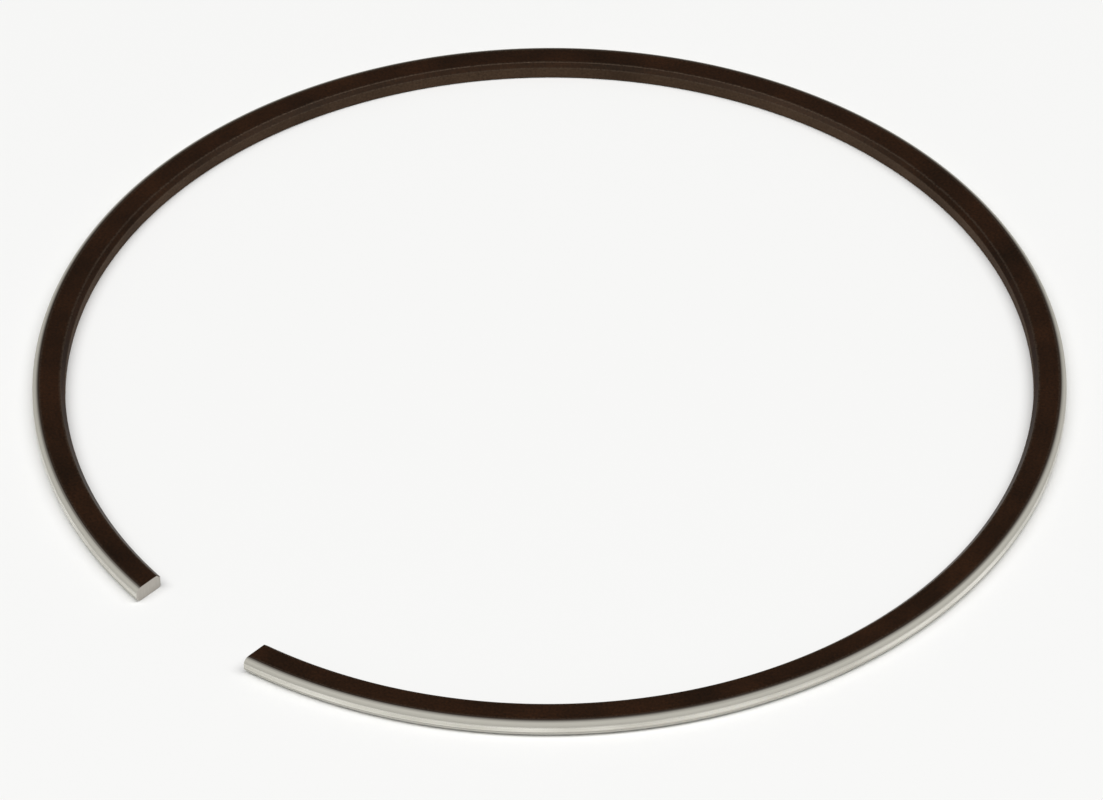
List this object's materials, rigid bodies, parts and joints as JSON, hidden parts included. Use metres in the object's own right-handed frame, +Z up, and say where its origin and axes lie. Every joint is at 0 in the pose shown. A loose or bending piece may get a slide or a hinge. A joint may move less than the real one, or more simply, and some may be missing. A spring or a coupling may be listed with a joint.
{
  "type": "piston ring",
  "caption": "Split piston compression ring sprung open in its free state: flat dark bar section, pale rounded running face, bevelled bore edge and a plain butt gap.",
  "frame": {"origin": "on the ring's axis, in the plane of the lower side face that the ring lies on", "axes": "+Z up along the ring's axis, -Y through the middle of the gap, X across the gap"},
  "size_m": [0.088, 0.0876, 0.0015],
  "materials": {
    "phosphated_iron": "dark brown-black phosphated iron, satin, with a pale lapped running face"
  },
  "bodies": {
    "root": {"compression_ring": "phosphated_iron"}
  },
  "joints": []
}
